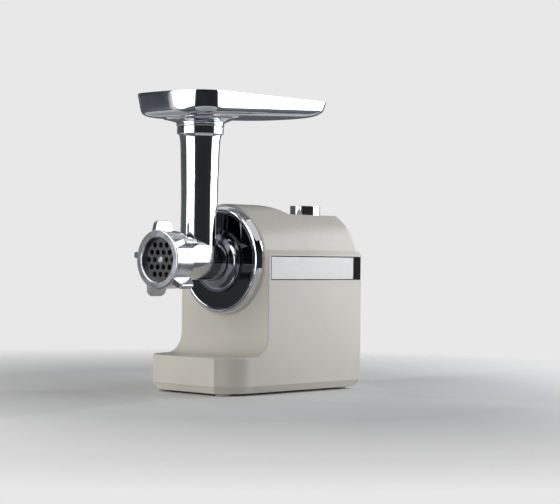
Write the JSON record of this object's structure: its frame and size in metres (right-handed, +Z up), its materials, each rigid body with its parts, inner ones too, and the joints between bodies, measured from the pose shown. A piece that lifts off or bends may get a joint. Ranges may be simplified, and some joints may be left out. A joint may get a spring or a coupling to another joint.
{
  "type": "electric meat grinder",
  "caption": "Countertop electric meat grinder: moulded motor housing with a forward toe, polished cast grinding head with winged ring nut, and a feed tray on its neck.",
  "frame": {"origin": "centre of the bounding box's bottom face: on the table, midway between the ring nut's face and the hood's rear lip", "axes": "+Z up, +Y from the ring nut to the rear wall along the auger, +X to the grinder's own left, which is the right of a viewer facing the outlet"},
  "size_m": [0.158, 0.309, 0.3826],
  "materials": {
    "cream_shell": "satin moulded",
    "silver_trim": "brushed",
    "black_trim": "fine grain",
    "chrome_trim": "polished",
    "mirror_steel": "mirror polished",
    "cast_socket": "die cast, polished",
    "polished_cast": "polished cast",
    "pressed_tray": "polished",
    "plate_steel": "ground",
    "knife_steel": "ground edges",
    "auger_metal": "cast, tumbled",
    "nylon": "natural",
    "foot_rubber": "matt",
    "screw_steel": "zinc plated",
    "gear_nylon": "moulded",
    "case_alloy": "die cast",
    "bronze": "sintered",
    "shaft_steel": "ground",
    "lamination": "stacked sheet",
    "copper": "enamelled wire",
    "carbon": "pressed",
    "fan_plastic": "moulded",
    "switch_plastic": "moulded",
    "board": "laminate",
    "board_parts": "moulded"
  },
  "bodies": {
    "housing": {"lower_housing": "cream_shell", "hood": "cream_shell", "base_pan": "cream_shell", "rubber_feet": "foot_rubber", "base_screws": "screw_steel", "hood_screws": "screw_steel", "side_plate_right": "silver_trim", "side_plate_left": "silver_trim", "rear_vent_grille": "black_trim", "bezel_ring": "chrome_trim", "mounting_disc": "mirror_steel", "head_socket": "cast_socket", "socket_bolts": "screw_steel", "gearbox_cover": "case_alloy", "gearbox_case": "case_alloy", "gearbox_screws": "screw_steel", "output_bearing": "bronze", "layshaft_pins": "shaft_steel", "motor_front_bracket": "case_alloy", "motor_rear_bracket": "case_alloy", "front_bearing": "shaft_steel", "rear_bearing": "shaft_steel", "stator_stack": "lamination", "field_coils": "copper", "brush_holders": "bronze", "carbon_brushes": "carbon", "through_bolts": "screw_steel", "motor_mount": "foot_rubber", "rotary_switch": "switch_plastic", "control_board": "board", "board_parts": "board_parts", "cord_gland": "black_trim"},
    "head": {"grinder_head": "polished_cast", "tail_bush": "nylon", "plate_key": "shaft_steel"},
    "plate": {"cutting_plate": "plate_steel"},
    "nut": {"ring_nut": "polished_cast"},
    "tray": {"feed_tray": "pressed_tray"},
    "drive": {"auger": "auger_metal", "knife": "knife_steel", "output_gear": "gear_nylon"},
    "second_layshaft": {"second_layshaft_gear": "gear_nylon"},
    "first_layshaft": {"first_layshaft_gear": "gear_nylon"},
    "rotor": {"motor_shaft": "shaft_steel", "motor_pinion": "shaft_steel", "cooling_fan": "fan_plastic", "armature_stack": "lamination", "armature_windings": "copper", "commutator": "copper"},
    "knob": {"switch_knob": "chrome_trim", "switch_spindle": "switch_plastic"}
  },
  "joints": [
    {"name": "head_twist", "type": "hinge", "parent": "housing", "child": "head", "pos_m": [0, -0.0335, 0.1706], "axis": [0, 1, 0], "range_deg": [0, 40]},
    {"name": "tray_lift", "type": "slide", "parent": "head", "child": "tray", "axis": [0, 0, 1], "range_m": [0, 0.04]},
    {"name": "plate_slide", "type": "slide", "parent": "head", "child": "plate", "axis": [0, -1, 0], "range_m": [0, 0.009]},
    {"name": "nut_turn", "type": "hinge", "parent": "plate", "child": "nut", "pos_m": [0, -0.14, 0.1706], "axis": [0, -1, 0], "range_deg": [0, 1080]},
    {"name": "auger_spin", "type": "hinge", "parent": "housing", "child": "drive", "pos_m": [0, 0, 0.1706], "axis": [0, 1, 0], "continuous": true},
    {"name": "second_layshaft_spin", "type": "hinge", "parent": "housing", "child": "second_layshaft", "pos_m": [0.02, 0.008, 0.11403], "axis": [0, 1, 0], "continuous": true},
    {"name": "first_layshaft_spin", "type": "hinge", "parent": "housing", "child": "first_layshaft", "pos_m": [-0.02379, 0.02, 0.10367], "axis": [0, 1, 0], "continuous": true},
    {"name": "motor_spin", "type": "hinge", "parent": "housing", "child": "rotor", "pos_m": [0, 0.09, 0.078], "axis": [0, 1, 0], "continuous": true},
    {"name": "knob_turn", "type": "hinge", "parent": "housing", "child": "knob", "pos_m": [0, 0.1225, 0.24], "axis": [0, 0, 1], "range_deg": [-45, 45]}
  ],
  "couplings": [
    {"joint": "plate_slide", "follows": "nut_turn", "m_per_rad": 0.00047746},
    {"joint": "second_layshaft_spin", "follows": "auger_spin", "ratio": -4},
    {"joint": "first_layshaft_spin", "follows": "auger_spin", "ratio": 16},
    {"joint": "motor_spin", "follows": "auger_spin", "ratio": -96}
  ]
}
